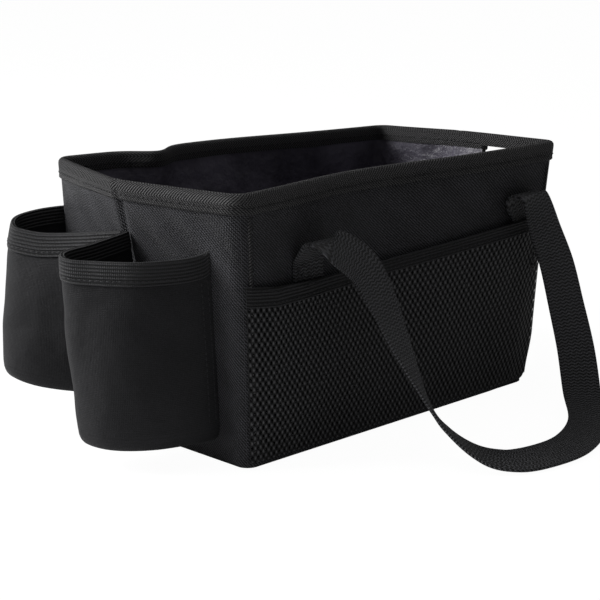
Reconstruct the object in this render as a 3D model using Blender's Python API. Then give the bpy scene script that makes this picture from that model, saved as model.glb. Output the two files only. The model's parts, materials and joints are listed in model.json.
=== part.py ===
"""Collapsible fabric tool caddy: board-stiffened walls, two cup pockets, a mesh pocket and two strap handles.

Metres, +Z up. The origin is the centre of the underside. The cup pockets are on the -X end and the mesh
pocket is on the -Y side. Both ends have a vertical crease, so the front wall folds back to the rear wall.
"""
import math

import bmesh
import bpy
from mathutils import Vector

# Overall sizes, measured over the rim binding
LENGTH = 0.324
WIDTH = 0.208
HEIGHT = 0.200

# Layers of a wall, from the outside in
GAP = 0.0003
BINDING_SKIN = 0.0012
OUTER_FABRIC = 0.0010
BOARD = 0.0024
LINING = 0.0008
BINDING_OUTSIDE_DROP = 0.015
BINDING_INSIDE_DROP = 0.013
WALL_FLOOR_CLEARANCE = 0.0006
CREASE_GAP = 0.0005

# Base
BASE_FABRIC = 0.0010
BASE_BOARD = 0.0030
BASE_LINING = 0.0008

# Slot in the right end, under the binding
SLOT_LENGTH = 0.028
SLOT_HEIGHT = 0.008
SLOT_BELOW_RIM = 0.0095
SLOT_FROM_CREASE = 0.030

# Cup pockets
CUP_WIDTH = 0.086
CUP_DEPTH_FRONT = 0.070
CUP_DEPTH_REAR = 0.056
CUP_BOTTOM = 0.026
CUP_TOP = 0.156
CUP_WALL = 0.0030
CUP_FROM_CREASE = 0.0020
CUP_ELASTIC_SKIN = 0.0010
CUP_ELASTIC_DROP = 0.015
CUP_STEPS = 20
CUP_SQUARENESS = 2.4

# Mesh pocket on the front
MESH_SHEET = 0.0010
MESH_STANDOFF = 0.0060
MESH_FROM_CORNER = 0.0050
MESH_BOTTOM = 0.0060
MESH_TOP = 0.1210
BAND_THICKNESS = 0.0014
BAND_HEIGHT = 0.0150

# Strap handles
STRAP_WIDTH = 0.030
STRAP_THICKNESS = 0.0024
STRAP_LEFT_X = -0.094
STRAP_RIGHT_X = 0.132
STRAP_ROOT_BOTTOM = 0.096
STRAP_ROOT_BEND = 0.152
STRAP_ARCH_Z = 0.162
STRAP_ARCH_OUT = 0.010
STRAP_ARCH_FLAT = 0.0040
STRAP_BEND_OUT = 0.0030
STRAP_BEND_DROP = 0.0040
REAR_LOOP_SAG = 0.0030
STRAP_STEPS_PER_POINT = 4

# Worked out from the sizes above
HALF_LENGTH = LENGTH / 2
HALF_WIDTH = WIDTH / 2
FABRIC_AT = BINDING_SKIN + GAP
BOARD_AT = FABRIC_AT + OUTER_FABRIC + GAP
LINING_AT = BOARD_AT + BOARD + GAP
INNER_BINDING_AT = LINING_AT + LINING + GAP
WALL_THICKNESS = INNER_BINDING_AT + BINDING_SKIN
WALL_TOP = HEIGHT - BINDING_SKIN - GAP
END_REACH = HALF_WIDTH - WALL_THICKNESS - GAP
BASE_HALF_LENGTH = HALF_LENGTH - LINING_AT - LINING - GAP
BASE_HALF_WIDTH = HALF_WIDTH - LINING_AT - LINING - GAP
ARCH_Y = HALF_WIDTH + STRAP_ARCH_OUT

# The loop of the front handle, from its left arch to its right arch: it falls to the ground and lies there.
# Each entry is a point of the strap's centre line and the direction across its width.
FRONT_LOOP = [
    ((-0.0930, -0.1230, 0.1604), (1.0, 0.0, 0.0)),
    ((-0.0800, -0.1280, 0.1515), (1.0, 0.0, 0.15)),
    ((-0.0680, -0.1330, 0.1385), (1.0, 0.0, 0.3)),
    ((-0.0600, -0.1430, 0.1130), (0.95, 0.2, 0.35)),
    ((-0.0540, -0.1570, 0.0800), (0.82, 0.48, 0.25)),
    ((-0.0490, -0.1770, 0.0430), (0.62, 0.75, 0.05)),
    ((-0.0440, -0.1930, 0.0250), (0.5, 0.85, 0.1)),
    ((-0.0340, -0.2140, 0.0110), (0.4, 0.9, 0.2)),
    ((-0.0190, -0.2310, 0.0058), (0.2, 0.95, 0.22)),
    ((0.0080, -0.2400, 0.0055), (0.0, 1.0, 0.22)),
    ((0.0440, -0.2380, 0.0056), (-0.15, 1.0, 0.22)),
    ((0.0830, -0.2200, 0.0080), (-0.4, 0.9, 0.22)),
    ((0.1100, -0.1930, 0.0195), (-0.6, 0.8, 0.2)),
    ((0.1260, -0.1730, 0.0480), (-0.75, 0.65, 0.1)),
    ((0.1340, -0.1560, 0.0790), (-0.85, 0.5, 0.05)),
    ((0.1390, -0.1410, 0.1100), (-0.92, 0.4, 0.0)),
    ((0.1385, -0.1280, 0.1370), (-0.97, 0.25, 0.0)),
    ((0.1325, -0.1230, 0.1604), (-1.0, 0.0, 0.0)),
]
# The rear handle hangs close to the wall. Its points are given for the left half and mirrored.
# Each entry is how far the point lies in from the strap's root, out from the arch and below it.
REAR_DROP = [
    (0.000, 0.0095, 0.0025),
    (0.003, 0.0140, 0.0200),
    (0.010, 0.0145, 0.0650),
    (0.026, 0.0150, 0.1150),
    (0.056, 0.0150, 0.1400),
]

PIVOTS = {
    "root": Vector((0, 0, 0)),
    "right_rear_end": Vector((HALF_LENGTH, HALF_WIDTH, 0)),
    "right_front_end": Vector((HALF_LENGTH - WALL_THICKNESS, 0, 0)),
    "front_wall": Vector((HALF_LENGTH, -HALF_WIDTH, 0)),
    "left_rear_end": Vector((-HALF_LENGTH, HALF_WIDTH, 0)),
    "left_front_end": Vector((WALL_THICKNESS - HALF_LENGTH, 0, 0)),
    "front_handle": Vector((0, -ARCH_Y, STRAP_ARCH_Z + STRAP_THICKNESS / 2)),
    "rear_handle": Vector((0, ARCH_Y, STRAP_ARCH_Z + STRAP_THICKNESS / 2)),
}
CARRIED_BY = {
    "right_rear_end": "root",
    "right_front_end": "right_rear_end",
    "front_wall": "right_front_end",
    "left_rear_end": "root",
    "left_front_end": "left_rear_end",
    "front_handle": "front_wall",
    "rear_handle": "root",
}


def clear_scene():
    for thing in list(bpy.data.objects):
        bpy.data.objects.remove(thing, do_unlink=True)


def material(name, colour, roughness, metallic=0.0):
    made = bpy.data.materials.new(name)
    made.use_nodes = True
    shader = made.node_tree.nodes["Principled BSDF"]
    shader.inputs["Base Color"].default_value = (*colour, 1)
    shader.inputs["Roughness"].default_value = roughness
    shader.inputs["Metallic"].default_value = metallic
    made.diffuse_color = (*colour, 1)
    return made


def make_pivots():
    empties = {}
    for body, place in PIVOTS.items():
        empty = bpy.data.objects.new(f"pivot_{body}", None)
        bpy.context.collection.objects.link(empty)
        carrier = CARRIED_BY.get(body)
        empty.location = place - PIVOTS[carrier] if carrier else place
        empty.parent = empties.get(carrier)
        empties[body] = empty
    return empties


class Caddy:
    """Adds each piece under its body's pivot, from points given in the caddy's own frame."""

    def __init__(self, empties):
        self.empties = empties

    def add(self, name, body, points, faces, finish):
        pivot = PIVOTS[body]
        mesh = bpy.data.meshes.new(name)
        mesh.from_pydata([Vector(p) - pivot for p in points], [], faces)
        mesh.update()
        bm = bmesh.new()
        bm.from_mesh(mesh)
        bmesh.ops.recalc_face_normals(bm, faces=bm.faces)
        bm.to_mesh(mesh)
        bm.free()
        mesh.materials.append(finish)
        piece = bpy.data.objects.new(name, mesh)
        bpy.context.collection.objects.link(piece)
        piece.parent = self.empties[body]
        return piece

    def cut(self, piece, body, points, faces):
        cutter = self.add(f"{piece.name}_cutter", body, points, faces, piece.data.materials[0])
        cutter.hide_render = True
        cutter.display_type = "WIRE"
        step = piece.modifiers.new("cut", "BOOLEAN")
        step.operation = "DIFFERENCE"
        step.solver = "EXACT"
        step.object = cutter


def prism(outline, low, high, upright=lambda a, b, along: (a, b, along)):
    """A prism on a closed outline, and upright turns (a, b, along) into x, y, z."""
    count = len(outline)
    points = [upright(a, b, along) for along in (low, high) for a, b in outline]
    sides = [(i, (i + 1) % count, count + (i + 1) % count, count + i) for i in range(count)]
    return points, [tuple(range(count)), tuple(range(count, 2 * count)), *sides]


def block(low, high):
    outline = [(low[0], low[1]), (high[0], low[1]), (high[0], high[1]), (low[0], high[1])]
    return prism(outline, low[2], high[2])


class Wall:
    """One flat wall: `along` runs with the wall, `deep` runs inward from the binding's outer plane."""

    def __init__(self, name, body, place, start, end):
        self.name = name
        self.body = body
        self.place = place
        self.start = start
        self.end = end

    def slab(self, deep, thickness, bottom, top):
        outline = [
            self.place(self.start, deep),
            self.place(self.end, deep),
            self.place(self.end, deep + thickness),
            self.place(self.start, deep + thickness),
        ]
        return prism(outline, bottom, top)


def binding_profile():
    """The rim binding's section as (deep, height): a channel folded over the wall's top edge."""
    outer_foot = HEIGHT - BINDING_OUTSIDE_DROP
    inner_foot = HEIGHT - BINDING_INSIDE_DROP
    under_top = HEIGHT - BINDING_SKIN
    return [
        (0, outer_foot),
        (BINDING_SKIN, outer_foot),
        (BINDING_SKIN, under_top),
        (INNER_BINDING_AT, under_top),
        (INNER_BINDING_AT, inner_foot),
        (WALL_THICKNESS, inner_foot),
        (WALL_THICKNESS, HEIGHT),
        (0, HEIGHT),
    ]


def add_wall(caddy, wall, finishes):
    pieces = [
        ("outer_fabric", FABRIC_AT, OUTER_FABRIC, "fabric"),
        ("board", BOARD_AT, BOARD, "board"),
        ("lining", LINING_AT, LINING, "lining"),
    ]
    made = {}
    for layer, deep, thickness, finish in pieces:
        points, faces = wall.slab(deep, thickness, WALL_FLOOR_CLEARANCE, WALL_TOP)
        made[layer] = caddy.add(f"{wall.name}_{layer}", wall.body, points, faces, finishes[finish])
    points, faces = prism(
        binding_profile(),
        wall.start,
        wall.end,
        lambda deep, height, along: (*wall.place(along, deep), height),
    )
    made["binding"] = caddy.add(f"{wall.name}_rim_binding", wall.body, points, faces, finishes["binding"])
    return made


def walls():
    def front(along, deep):
        return along, deep - HALF_WIDTH

    def rear(along, deep):
        return along, HALF_WIDTH - deep

    def left(along, deep):
        return deep - HALF_LENGTH, along

    def right(along, deep):
        return HALF_LENGTH - deep, along

    crease = CREASE_GAP / 2
    return [
        Wall("rear_wall", "root", rear, -HALF_LENGTH, HALF_LENGTH),
        Wall("front_wall", "front_wall", front, -HALF_LENGTH, HALF_LENGTH),
        Wall("left_rear_end", "left_rear_end", left, crease, END_REACH),
        Wall("left_front_end", "left_front_end", left, -END_REACH, -crease),
        Wall("right_rear_end", "right_rear_end", right, crease, END_REACH),
        Wall("right_front_end", "right_front_end", right, -END_REACH, -crease),
    ]


def cut_slot(caddy, wall, made):
    """A finger slot through all the layers, just under the fold of the binding."""
    top = HEIGHT - SLOT_BELOW_RIM
    near_crease = -SLOT_FROM_CREASE
    slot = Wall("slot", wall.body, wall.place, near_crease - SLOT_LENGTH, near_crease)
    for layer in ("outer_fabric", "board", "lining", "binding"):
        points, faces = slot.slab(-BOARD, WALL_THICKNESS + 2 * BOARD, top - SLOT_HEIGHT, top)
        caddy.cut(made[layer], wall.body, points, faces)


def add_base(caddy, finishes):
    layers = [
        ("base_fabric", 0.0, BASE_FABRIC, "fabric"),
        ("base_board", BASE_FABRIC + GAP, BASE_BOARD, "board"),
        ("base_lining", BASE_FABRIC + BASE_BOARD + 2 * GAP, BASE_LINING, "lining"),
    ]
    for name, bottom, thickness, finish in layers:
        low = (-BASE_HALF_LENGTH, -BASE_HALF_WIDTH, bottom)
        high = (BASE_HALF_LENGTH, BASE_HALF_WIDTH, bottom + thickness)
        caddy.add(name, "root", *block(low, high), finishes[finish])


def cup_outline(centre, depth, grow):
    """Plan of a cup pocket, bulging to -X from the end panel, made wider and deeper by `grow`."""
    face = FABRIC_AT - HALF_LENGTH - GAP
    half = CUP_WIDTH / 2 + grow
    reach = depth + grow
    outline = []
    for step in range(CUP_STEPS + 1):
        turn = math.pi * step / CUP_STEPS
        out = abs(math.sin(turn)) ** (2 / CUP_SQUARENESS)
        side = abs(math.cos(turn)) ** (2 / CUP_SQUARENESS)
        if step in (0, CUP_STEPS):
            out = 0.0
        outline.append((face - reach * out, centre + math.copysign(half * side, math.cos(turn))))
    return outline


def past_face(outline, extra):
    """The same outline carried past the end panel's plane, for a cutter that opens the pocket's back."""
    face = outline[0][0]
    return [(face + extra, outline[0][1]), *outline, (face + extra, outline[-1][1])]


def add_cup(caddy, name, body, centre, depth, finishes):
    pocket = caddy.add(
        f"{name}_cup_pocket",
        body,
        *prism(cup_outline(centre, depth, 0), CUP_BOTTOM, CUP_TOP),
        finishes["neoprene"],
    )
    hollow = past_face(cup_outline(centre, depth, -CUP_WALL), CUP_WALL)
    caddy.cut(pocket, body, *prism(hollow, CUP_BOTTOM + CUP_WALL, CUP_TOP + CUP_WALL))

    skin = CUP_ELASTIC_SKIN
    foot = CUP_TOP - CUP_ELASTIC_DROP
    top = CUP_TOP + GAP + skin
    outer = cup_outline(centre, depth, GAP + skin)
    inner = cup_outline(centre, depth, -CUP_WALL - GAP - skin)
    channel_outer = cup_outline(centre, depth, GAP)
    channel_inner = cup_outline(centre, depth, -CUP_WALL - GAP)
    rim = [*outer, *reversed(inner)]
    elastic = caddy.add(f"{name}_cup_elastic", body, *prism(rim, foot, top), finishes["elastic"])
    groove = [*past_face(channel_outer, skin), *reversed(past_face(channel_inner, skin))]
    caddy.cut(elastic, body, *prism(groove, foot - skin, CUP_TOP + GAP))


def u_outline(half_span, out_at, thickness, back_at):
    """Plan of a sheet in front of the wall whose two ends turn back to it."""
    return [
        (-half_span, back_at),
        (-half_span, out_at),
        (half_span, out_at),
        (half_span, back_at),
        (half_span - thickness, back_at),
        (half_span - thickness, out_at + thickness),
        (thickness - half_span, out_at + thickness),
        (thickness - half_span, back_at),
    ]


def add_mesh_pocket(caddy, finishes):
    half_span = HALF_LENGTH - MESH_FROM_CORNER
    face = FABRIC_AT - HALF_WIDTH
    out_at = face - MESH_STANDOFF - MESH_SHEET
    back_at = face - GAP
    panel = caddy.add(
        "front_mesh_pocket",
        "front_wall",
        *block((-half_span, out_at, MESH_BOTTOM), (half_span, back_at, MESH_TOP)),
        finishes["mesh"],
    )
    low = (MESH_SHEET - half_span, out_at + MESH_SHEET, MESH_BOTTOM + MESH_SHEET)
    high = (half_span - MESH_SHEET, back_at + MESH_SHEET, MESH_TOP + MESH_SHEET)
    caddy.cut(panel, "front_wall", *block(low, high))
    band_out = out_at + MESH_SHEET - BAND_THICKNESS
    outline = u_outline(half_span, band_out, BAND_THICKNESS, back_at)
    bottom = MESH_TOP + GAP
    caddy.add(
        "mesh_pocket_elastic_band",
        "front_wall",
        *prism(outline, bottom, bottom + BAND_HEIGHT),
        finishes["elastic"],
    )


def smooth_path(points, steps):
    """Catmull-Rom points through a list of vectors."""
    padded = [2 * points[0] - points[1], *points, 2 * points[-1] - points[-2]]
    path = []
    for i in range(1, len(padded) - 2):
        before, start, end, after = padded[i - 1 : i + 3]
        for step in range(steps):
            t = step / steps
            path.append(
                0.5
                * (
                    2 * start
                    + (end - before) * t
                    + (2 * before - 5 * start + 4 * end - after) * t**2
                    + (3 * start - before - 3 * end + after) * t**3
                )
            )
    path.append(points[-1].copy())
    return path


def ribbon(path, across, thickness):
    """A strap of STRAP_WIDTH swept along a path, with the direction across it given at each point."""
    points = []
    for i, centre in enumerate(path):
        ahead = path[min(i + 1, len(path) - 1)] - path[max(i - 1, 0)]
        ahead.normalize()
        side = across[i] - ahead * across[i].dot(ahead)
        side.normalize()
        normal = ahead.cross(side)
        side = side * STRAP_WIDTH / 2
        normal = normal * thickness / 2
        points += [centre - side - normal, centre + side - normal, centre + side + normal, centre - side + normal]
    faces = [(0, 1, 2, 3), tuple(range(len(points) - 4, len(points)))]
    for i in range(len(path) - 1):
        ring = 4 * i
        for corner in range(4):
            after = (corner + 1) % 4
            faces.append((ring + corner, ring + after, ring + 4 + after, ring + 4 + corner))
    return points, faces


def add_handle_roots(caddy, handle, body, side_y, finishes):
    """The sewn-down ends of one handle: up the wall, then out to the arch where the loop starts."""
    wall_y = HALF_WIDTH - FABRIC_AT + GAP + STRAP_THICKNESS / 2
    for side, x in (("left", STRAP_LEFT_X), ("right", STRAP_RIGHT_X)):
        path = [
            Vector((x, side_y * wall_y, STRAP_ROOT_BOTTOM)),
            Vector((x, side_y * wall_y, STRAP_ROOT_BEND)),
            Vector((x, side_y * (wall_y + STRAP_BEND_OUT), STRAP_ARCH_Z - STRAP_BEND_DROP)),
            Vector((x, side_y * (ARCH_Y - STRAP_ARCH_FLAT), STRAP_ARCH_Z)),
            Vector((x, side_y * (ARCH_Y - GAP), STRAP_ARCH_Z)),
        ]
        across = [Vector((1, 0, 0))] * len(path)
        strip = ribbon(path, across, STRAP_THICKNESS)
        caddy.add(f"{handle}_handle_{side}_root", body, *strip, finishes["webbing"])


def add_loop(caddy, name, body, path_points, across_points, finishes):
    path = smooth_path(path_points, STRAP_STEPS_PER_POINT)
    across = smooth_path(across_points, STRAP_STEPS_PER_POINT)
    caddy.add(name, body, *ribbon(path, across, STRAP_THICKNESS), finishes["webbing"])


def add_front_handle(caddy, finishes):
    add_handle_roots(caddy, "front", "front_wall", -1, finishes)
    start = [Vector((STRAP_LEFT_X, -ARCH_Y - out, STRAP_ARCH_Z)) for out in (GAP, STRAP_ARCH_FLAT)]
    end = [Vector((STRAP_RIGHT_X, -ARCH_Y - out, STRAP_ARCH_Z)) for out in (STRAP_ARCH_FLAT, GAP)]
    centre = [*start, *(Vector(point) for point, _ in FRONT_LOOP), *end]
    across = [Vector((1, 0, 0))] * 2 + [Vector(side) for _, side in FRONT_LOOP] + [Vector((-1, 0, 0))] * 2
    add_loop(caddy, "front_handle_strap", "front_handle", centre, across, finishes)


def add_rear_handle(caddy, finishes):
    add_handle_roots(caddy, "rear", "root", 1, finishes)
    middle = (STRAP_LEFT_X + STRAP_RIGHT_X) / 2
    left = [Vector((STRAP_LEFT_X, ARCH_Y + out, STRAP_ARCH_Z)) for out in (GAP, STRAP_ARCH_FLAT)]
    left += [Vector((STRAP_LEFT_X + inward, ARCH_Y + out, STRAP_ARCH_Z - drop)) for inward, out, drop in REAR_DROP]
    right = [Vector((2 * middle - p.x, p.y, p.z)) for p in reversed(left)]
    centre = [*left, Vector((middle, left[-1].y, left[-1].z - REAR_LOOP_SAG)), *right]
    left_across = [Vector((1, 0, 0))] * 5 + [Vector((0.8, 0, 0.6)), Vector((0.3, 0, 1))]
    right_across = [Vector((-side.x, 0, side.z)) for side in reversed(left_across)]
    across = [*left_across, Vector((0, 0, 1)), *right_across]
    add_loop(caddy, "rear_handle_strap", "rear_handle", centre, across, finishes)


def build():
    clear_scene()
    finishes = {
        "fabric": material("fabric", (0.030, 0.032, 0.037), 0.62),
        "board": material("board", (0.30, 0.29, 0.27), 0.80),
        "lining": material("lining", (0.105, 0.098, 0.115), 0.42),
        "binding": material("binding", (0.022, 0.023, 0.026), 0.75),
        "neoprene": material("neoprene", (0.028, 0.029, 0.033), 0.55),
        "elastic": material("elastic", (0.024, 0.025, 0.028), 0.70),
        "mesh": material("mesh", (0.020, 0.021, 0.024), 0.70),
        "webbing": material("webbing", (0.026, 0.028, 0.033), 0.60),
    }
    caddy = Caddy(make_pivots())
    for wall in walls():
        made = add_wall(caddy, wall, finishes)
        if wall.name == "right_front_end":
            cut_slot(caddy, wall, made)
    add_base(caddy, finishes)
    cup_centre = CREASE_GAP / 2 + CUP_FROM_CREASE + CUP_WIDTH / 2
    add_cup(caddy, "front", "left_front_end", -cup_centre, CUP_DEPTH_FRONT, finishes)
    add_cup(caddy, "rear", "left_rear_end", cup_centre, CUP_DEPTH_REAR, finishes)
    add_mesh_pocket(caddy, finishes)
    add_front_handle(caddy, finishes)
    add_rear_handle(caddy, finishes)
    bpy.context.view_layer.update()


build()
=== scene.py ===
"""The looks of the folding fabric tool caddy: sewn walls, cup pockets, mesh pocket, webbing and stitching.

Metres, +Z up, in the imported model's own frame. Sizes come from the frame, so each piece sits on its CAD node.
"""

import itertools
import json
import math
from collections import namedtuple

import bpy
import numpy as np
from mathutils import Matrix, Vector, noise


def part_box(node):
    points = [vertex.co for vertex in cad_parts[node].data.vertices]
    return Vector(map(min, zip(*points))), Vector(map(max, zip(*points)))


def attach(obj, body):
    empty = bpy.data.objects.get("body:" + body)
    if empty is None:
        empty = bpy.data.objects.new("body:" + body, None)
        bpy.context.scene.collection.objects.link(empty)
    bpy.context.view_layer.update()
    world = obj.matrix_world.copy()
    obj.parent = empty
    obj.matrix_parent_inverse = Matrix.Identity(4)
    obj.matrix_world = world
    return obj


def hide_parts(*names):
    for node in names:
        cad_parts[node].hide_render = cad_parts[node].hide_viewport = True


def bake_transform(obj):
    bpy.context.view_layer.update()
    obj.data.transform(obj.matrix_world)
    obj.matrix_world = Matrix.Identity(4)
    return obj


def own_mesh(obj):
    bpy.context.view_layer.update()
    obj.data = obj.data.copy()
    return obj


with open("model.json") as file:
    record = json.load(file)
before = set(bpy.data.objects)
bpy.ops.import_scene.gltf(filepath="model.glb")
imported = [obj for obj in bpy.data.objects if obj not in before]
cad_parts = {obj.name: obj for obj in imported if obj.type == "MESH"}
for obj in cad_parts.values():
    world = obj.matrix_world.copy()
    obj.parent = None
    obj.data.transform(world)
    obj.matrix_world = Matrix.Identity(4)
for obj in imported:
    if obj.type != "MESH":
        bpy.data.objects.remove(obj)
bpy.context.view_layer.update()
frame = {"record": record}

# Sizes read from the frame
RIM_LOW, RIM_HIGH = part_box("front_wall_rim_binding")
HALF_LENGTH = RIM_HIGH[0]
HALF_WIDTH = -RIM_LOW[1]
HEIGHT = RIM_HIGH[2]
WALL = RIM_HIGH[1] - RIM_LOW[1]
BINDING_DROP = HEIGHT - RIM_LOW[2]
FABRIC_AT = HALF_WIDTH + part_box("front_wall_outer_fabric")[0][1]
FABRIC_IN = HALF_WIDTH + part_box("front_wall_outer_fabric")[1][1]
BOARD_AT = HALF_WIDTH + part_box("front_wall_board")[0][1]
BOARD_IN = HALF_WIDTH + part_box("front_wall_board")[1][1]
LINING_AT = HALF_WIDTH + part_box("front_wall_lining")[0][1]
LINING_IN = HALF_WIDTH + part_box("front_wall_lining")[1][1]
BASE_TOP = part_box("base_lining")[1][2]
CUP_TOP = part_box("front_cup_pocket")[1][2]
CUP_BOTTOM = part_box("front_cup_pocket")[0][2]
MESH_LOW, MESH_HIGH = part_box("front_mesh_pocket")
ROOT_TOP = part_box("front_handle_left_root")[1][2]
SLOT = next(o["box_m"] for o in frame["record"]["physics"]["openings"] if o["name"] == "end_slot")

# Soft shape of the sewn walls
CORNER_RADIUS = 0.013
FOOT_RADIUS = 0.005
CREASE_OUT_LEFT = 0.027
CREASE_SHIFT = 0.008
CREASE_OUT_RIGHT = 0.004
BLEND_HALF = 0.008
STITCH_PITCH = 0.0042
STITCH_LENGTH = 0.0029
STITCH_RADIUS = 0.00036
STRAP_WIDTH = 0.030
STRAP_THICKNESS = 0.0020
STRAP_STEPS = 9
ARCH_BELOW_TOP = 0.0012
ARCH_FLAT = 0.0037
# How far out a second point is taken to find which way a surface faces
OUTWARD = 0.01

# How far the rim leans off the ideal box at its left and right ends, and its dents: depth, place and width
FRONT_LEAN = (0.006, -0.004)
FRONT_DENTS = [(0.016, -0.030, 0.085)]
REAR_LEAN = (0.010, -0.026)
REAR_DENTS = [(0.008, 0.0, 0.07), (-0.017, -0.078, 0.020)]
LEFT_LEAN = 0.004
RIGHT_LEAN = 0.006
RIGHT_LEAN_AT_FRONT = 0.0145
# How far the rim rises at its left end, and at its right end in front and at the rear
RIM_RISE_LEFT = 0.003
RIM_RISE_RIGHT = (-0.002, -0.010)
# How the foot of the right front corner is tucked in
FOOT_TUCK = (-0.004, 0.002, 0.0022)

# The route of the front handle's loop, as part.py lays it: a point on the strap's centre line and the
# direction across it
FRONT_LOOP = [
    ((-0.093, -0.123, 0.1604), (1, 0, 0)), ((-0.08, -0.128, 0.1515), (1, 0, 0.15)),
    ((-0.068, -0.133, 0.1385), (1, 0, 0.3)), ((-0.06, -0.143, 0.113), (0.95, 0.2, 0.35)),
    ((-0.054, -0.157, 0.08), (0.82, 0.48, 0.25)), ((-0.049, -0.177, 0.043), (0.62, 0.75, 0.05)),
    ((-0.044, -0.193, 0.025), (0.5, 0.85, 0.1)), ((-0.034, -0.214, 0.011), (0.4, 0.9, 0.2)),
    ((-0.019, -0.231, 0.0058), (0.2, 0.95, 0.22)), ((0.008, -0.24, 0.0055), (0, 1, 0.22)),
    ((0.044, -0.238, 0.0056), (-0.15, 1, 0.22)), ((0.083, -0.22, 0.008), (-0.4, 0.9, 0.22)),
    ((0.11, -0.193, 0.0195), (-0.6, 0.8, 0.2)), ((0.126, -0.173, 0.048), (-0.75, 0.65, 0.1)),
    ((0.134, -0.156, 0.079), (-0.85, 0.5, 0.05)), ((0.139, -0.141, 0.11), (-0.92, 0.4, 0)),
    ((0.1385, -0.128, 0.137), (-0.97, 0.25, 0)), ((0.1325, -0.123, 0.1604), (-1, 0, 0)),
]
# How far the rear handle's points lie in from its root, out from the arch and below it
REAR_DROP = [
    (0, 0.0095, 0.0025), (0.003, 0.014, 0.02), (0.01, 0.0145, 0.065), (0.026, 0.015, 0.115),
    (0.056, 0.015, 0.14),
]


# ---- shape of the caddy


def smooth(low, high, value):
    t = np.clip((value - low) / (high - low), 0, 1)
    return t * t * (3 - 2 * t)


def bump(value, centre, width):
    return np.exp(-(((value - centre) / width) ** 2))


def waves(points, size, seed):
    """Soft noise from -1 to 1 at each point, about `size` metres from crest to crest."""
    offset = Vector((seed * 7.31, seed * 3.17, seed * 5.77))
    return np.array([noise.noise(Vector(p) / size + offset) for p in np.atleast_2d(points)])


def bow(x, left, lean, dents):
    """How far a long wall's rim stands off its ideal line at x."""
    dented = sum(depth * bump(x, at, width) for depth, at, width in dents)
    return lean[0] * left + lean[1] * (1 - left) + dented


def soften(points):
    """Moves points from the caddy's ideal box to its real, slightly slack shape."""
    points = np.array(points, float)
    x, y, z = points.T
    up = np.clip(z / HEIGHT, 0, 1.02)
    front = np.clip(0.5 - y / (2 * HALF_WIDTH), 0, 1)
    left = np.clip(0.5 - x / (2 * HALF_LENGTH), 0, 1)
    rise = up**1.4
    crease = 1 - np.clip(np.abs(y - 0.003) / HALF_WIDTH, 0, 1)
    left_bow = LEFT_LEAN - CREASE_OUT_LEFT * crease**0.85
    right_bow = RIGHT_LEAN + RIGHT_LEAN_AT_FRONT * front + CREASE_OUT_RIGHT * crease
    left_reach = smooth(0.35, 1.0, left)
    dx = rise * (left_bow * left_reach + right_bow * smooth(0.35, 1.0, 1 - left))
    dy = bow(x, left, FRONT_LEAN, FRONT_DENTS) * smooth(0.3, 1.0, front)
    dy += bow(x, left, REAR_LEAN, REAR_DENTS) * smooth(0.3, 1.0, 1 - front)
    dy = rise * (dy + left_reach * CREASE_SHIFT * crease)
    dz = left * RIM_RISE_LEFT + (1 - left) * (RIM_RISE_RIGHT[0] * front + RIM_RISE_RIGHT[1] * (1 - front))
    tuck = smooth(0.105, 0.165, x) * smooth(0.5, 1.0, front) * (1 - smooth(0.0, 0.045, z))
    return points + np.stack([dx, dy, up * dz], axis=1) + tuck[:, None] * np.array(FOOT_TUCK)


SIDES = {
    "front": ((0, -1), (1, 0), HALF_LENGTH, HALF_WIDTH),
    "rear": ((0, 1), (1, 0), HALF_LENGTH, HALF_WIDTH),
    "left": ((-1, 0), (0, 1), HALF_WIDTH, HALF_LENGTH),
    "right": ((1, 0), (0, 1), HALF_WIDTH, HALF_LENGTH),
}


def side_end(side):
    """How far a side runs from its middle, round to the middle of its corners."""
    return SIDES[side][2] - CORNER_RADIUS + CORNER_RADIUS * math.pi / 4


def on_side(side, s, z, d):
    """Ideal points of a side at s along it, height z and depth d in from the binding's outer plane."""
    (nx, ny), (tx, ty), half, out = SIDES[side]
    s, z, d = np.broadcast_arrays(np.asarray(s, float), z, d)
    straight = half - CORNER_RADIUS
    turn = np.clip((np.abs(s) - straight) / CORNER_RADIUS, 0, math.pi / 4)
    radius = CORNER_RADIUS - d
    along = np.sign(s) * (np.minimum(np.abs(s), straight) + radius * np.sin(turn))
    away = out - CORNER_RADIUS + radius * np.cos(turn)
    return np.stack([tx * along + nx * away, ty * along + ny * away, z], axis=-1)


def along_side(side, step=0.004, extra=()):
    """Places along a side, with more of them round its corners and at its crease."""
    end = side_end(side)
    straight = SIDES[side][2] - CORNER_RADIUS
    corner = np.linspace(straight, end, 7)
    middle = np.linspace(-straight, straight, int(2 * straight / step) + 1)
    crease = [-0.006, -0.004, -0.0025, -0.0012, 0, 0.0012, 0.0025, 0.004, 0.006]
    places = [*-corner, *middle, *corner, *extra]
    if side in ("left", "right"):
        places = [p for p in places if abs(p) > 0.0065] + crease
    return np.unique(np.round(places, 5))


# ---- mesh helpers


def fix_normals(mesh):
    """Turns a closed mesh right side out."""
    mesh.calc_loop_triangles()
    points = np.array([v.co for v in mesh.vertices])
    corners = points[np.array([t.vertices for t in mesh.loop_triangles])]
    volume = np.einsum("ij,ij->i", corners[:, 0], np.cross(corners[:, 1], corners[:, 2])).sum()
    if volume < 0:
        mesh.flip_normals()


def new_piece(name, points, faces, finish, uv=None, round_angle=50):
    mesh = bpy.data.meshes.new(name)
    mesh.from_pydata([tuple(map(float, p)) for p in points], [], faces)
    mesh.update()
    if uv is not None:
        layer = mesh.uv_layers.new(name="cloth")
        index = np.empty(len(mesh.loops), int)
        mesh.loops.foreach_get("vertex_index", index)
        layer.data.foreach_set("uv", np.asarray(uv, np.float32)[index].ravel())
    mesh.materials.append(finish)
    mesh.shade_smooth()
    mesh.set_sharp_from_angle(angle=math.radians(round_angle))
    piece = bpy.data.objects.new(name, mesh)
    bpy.context.scene.collection.objects.link(piece)
    fix_normals(mesh)
    return piece


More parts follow.
